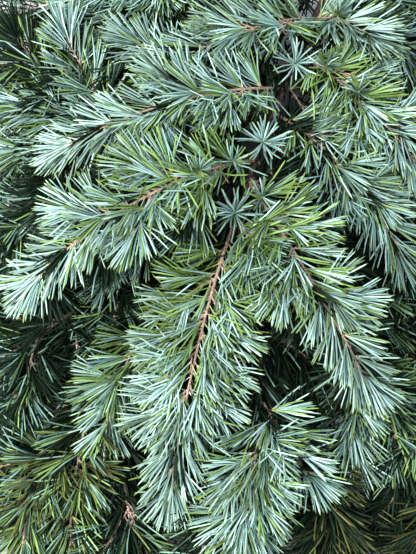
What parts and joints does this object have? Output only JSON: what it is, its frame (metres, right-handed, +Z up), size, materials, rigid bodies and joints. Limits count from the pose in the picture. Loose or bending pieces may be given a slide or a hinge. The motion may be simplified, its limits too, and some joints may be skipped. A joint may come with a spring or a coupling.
{
  "type": "cut cedar bough",
  "caption": "Cut evergreen cedar bough lying down: a tapering woody stem with side limbs and drooping sprays of stiff blue-green needles.",
  "frame": {"origin": "middle of the bough's outline seen from above, on the surface that it lies on", "axes": "+Y towards the sawn end of the main stem, +Z up, the leading shoot and its tip towards -Y"},
  "size_m": [0.5657, 0.681, 0.1698],
  "materials": {
    "bark": "grey-brown young bark, matt",
    "needles": "blue-green needles with a pale waxy bloom, yellow-green on the older wood"
  },
  "bodies": {
    "root": {"main_stem": "bark", "limb_top_left": "bark", "limb_left": "bark", "limb_lower_left": "bark", "limb_bottom_left": "bark", "limb_bottom": "bark", "limb_lower_right": "bark", "limb_right": "bark", "leader_spray": "needles", "fork_spray": "needles", "centre_right_spray": "needles", "inner_right_spray": "needles", "right_spray": "needles", "upper_right_spray": "needles", "top_spray": "needles", "top_right_spray": "needles", "far_top_right_spray": "needles", "upper_centre_spray": "needles", "upper_left_spray": "needles", "left_long_spray": "needles", "centre_left_spray": "needles", "top_left_spray": "needles", "far_top_left_spray": "needles", "high_top_left_spray": "needles", "far_left_spray": "needles", "left_tip_side_spray": "needles", "left_tip_low_spray": "needles", "left_tip_up_spray": "needles", "left_up_spray": "needles", "left_down_spray": "needles", "left_inner_spray": "needles", "inner_left_spray": "needles", "lower_left_spray": "needles", "lower_left_side_spray": "needles", "far_lower_left_spray": "needles", "bright_left_spray": "needles", "low_centre_spray": "needles", "low_inner_left_spray": "needles", "bottom_left_spray": "needles", "bottom_spray": "needles", "bottom_side_spray": "needles", "bottom_left_side_spray": "needles", "inner_bottom_spray": "needles", "low_right_spray": "needles", "lower_right_spray": "needles", "lower_side_spray": "needles", "right_high_spray": "needles", "right_middle_spray": "needles", "right_inner_spray": "needles", "right_outer_spray": "needles", "right_down_spray": "needles", "right_side_spray": "needles", "bottom_right_spray": "needles", "spur_top": "needles", "spur_middle": "needles", "spur_fork": "needles"}
  },
  "joints": []
}
